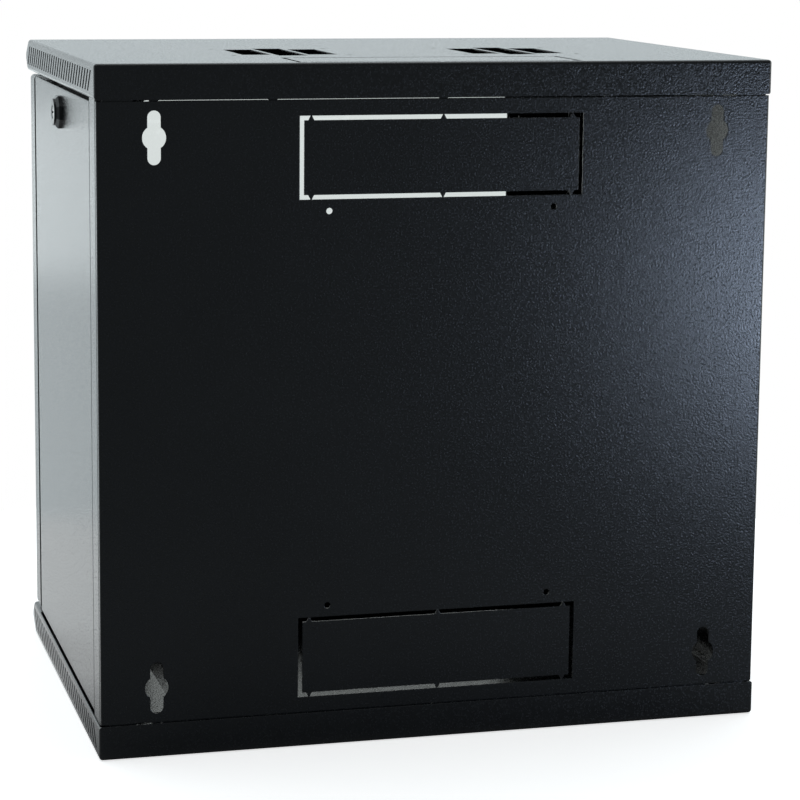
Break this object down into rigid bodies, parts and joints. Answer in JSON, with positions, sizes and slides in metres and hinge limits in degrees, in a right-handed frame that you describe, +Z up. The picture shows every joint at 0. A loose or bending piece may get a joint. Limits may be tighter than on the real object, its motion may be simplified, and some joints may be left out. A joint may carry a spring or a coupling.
{
  "type": "wall mount network cabinet",
  "caption": "Black steel wall mount network cabinet with glass front door, removable latched side panels, rear keyholes and cable knockouts, and adjustable rack rails.",
  "frame": {"origin": "middle of the underside, midway between the wall plane and the tip of the covers' noses", "axes": "+Z up, +Y to the wall, -Y out of the glass door, +X to the right of someone facing the door"},
  "size_m": [0.611, 0.44, 0.595],
  "materials": {
    "black_powder_coat": "fine textured black powder coat, semi-gloss",
    "zinc_plated_steel": "bright zinc plating",
    "black_lock_body": "smooth black, glossy",
    "lock_plug_metal": "nickel-plated lock plug",
    "toughened_glass": "clear toughened glass with a faint grey tint",
    "foam_tape": "closed-cell foam tape",
    "rubber_buffer": "soft black rubber",
    "nylon": "natural nylon"
  },
  "bodies": {
    "frame": {"bottom_cover": "black_powder_coat", "top_cover": "black_powder_coat", "rear_panel": "black_powder_coat", "earth_stud": "zinc_plated_steel", "earth_nut": "zinc_plated_steel", "door_bumpers": "rubber_buffer", "lower_hinge_bush": "nylon", "upper_hinge_bush": "nylon", "left_rear_post": "black_powder_coat", "left_rear_landing": "black_powder_coat", "left_front_post": "black_powder_coat", "left_lower_depth_rail": "black_powder_coat", "left_upper_depth_rail": "black_powder_coat", "right_rear_post": "black_powder_coat", "right_rear_landing": "black_powder_coat", "right_front_post": "black_powder_coat", "right_lower_depth_rail": "black_powder_coat", "right_upper_depth_rail": "black_powder_coat"},
    "door": {"door_frame": "black_powder_coat", "door_glass": "toughened_glass", "glazing_tape": "foam_tape", "glass_clips": "zinc_plated_steel", "clip_studs": "zinc_plated_steel", "clip_nuts": "zinc_plated_steel", "door_lock_housing": "black_lock_body", "door_lock_nut": "zinc_plated_steel", "upper_hinge_lug": "black_powder_coat", "lower_hinge_lug": "black_powder_coat", "lower_hinge_pin": "zinc_plated_steel"},
    "door_lock": {"door_lock_plug": "lock_plug_metal", "door_lock_cam": "zinc_plated_steel", "door_lock_cam_screw": "zinc_plated_steel"},
    "hinge_bolt": {"upper_hinge_pin": "zinc_plated_steel"},
    "left_side": {"left_side_panel": "black_powder_coat", "left_latch_housing": "black_lock_body", "left_latch_nut": "zinc_plated_steel"},
    "left_latch": {"left_latch_plug": "lock_plug_metal", "left_latch_cam": "zinc_plated_steel", "left_latch_cam_screw": "zinc_plated_steel"},
    "left_rack_rail": {"left_rack_rail": "black_powder_coat", "left_rail_bolts": "zinc_plated_steel", "left_rail_nuts": "zinc_plated_steel"},
    "right_side": {"right_side_panel": "black_powder_coat", "right_latch_housing": "black_lock_body", "right_latch_nut": "zinc_plated_steel"},
    "right_latch": {"right_latch_plug": "lock_plug_metal", "right_latch_cam": "zinc_plated_steel", "right_latch_cam_screw": "zinc_plated_steel"},
    "right_rack_rail": {"right_rack_rail": "black_powder_coat", "right_rail_bolts": "zinc_plated_steel", "right_rail_nuts": "zinc_plated_steel"}
  },
  "joints": [
    {"name": "door_swing", "type": "hinge", "parent": "frame", "child": "door", "pos_m": [-0.29, -0.185, 0.2975], "axis": [0, 0, -1], "range_deg": [0, 180]},
    {"name": "door_lock_turn", "type": "hinge", "parent": "door", "child": "door_lock", "pos_m": [0.247, -0.2, 0.2975], "axis": [0, -1, 0], "range_deg": [0, 90]},
    {"name": "hinge_bolt_release", "type": "slide", "parent": "door", "child": "hinge_bolt", "axis": [0, 0, -1], "range_m": [0, 0.008], "stiffness_N_per_m": 200, "springref_m": -0.02},
    {"name": "right_panel_pull", "type": "slide", "parent": "frame", "child": "right_side", "axis": [1, 0, 0], "range_m": [0, 0.06]},
    {"name": "right_latch_turn", "type": "hinge", "parent": "right_side", "child": "right_latch", "pos_m": [0.2985, 0.008, 0.54], "axis": [-1, 0, 0], "range_deg": [0, 90]},
    {"name": "right_rail_depth", "type": "slide", "parent": "frame", "child": "right_rack_rail", "axis": [0, 1, 0], "range_m": [-0.03, 0.18]},
    {"name": "left_panel_pull", "type": "slide", "parent": "frame", "child": "left_side", "axis": [-1, 0, 0], "range_m": [0, 0.06]},
    {"name": "left_latch_turn", "type": "hinge", "parent": "left_side", "child": "left_latch", "pos_m": [-0.2985, 0.008, 0.54], "axis": [-1, 0, 0], "range_deg": [0, 90]},
    {"name": "left_rail_depth", "type": "slide", "parent": "frame", "child": "left_rack_rail", "axis": [0, 1, 0], "range_m": [-0.03, 0.18]}
  ]
}
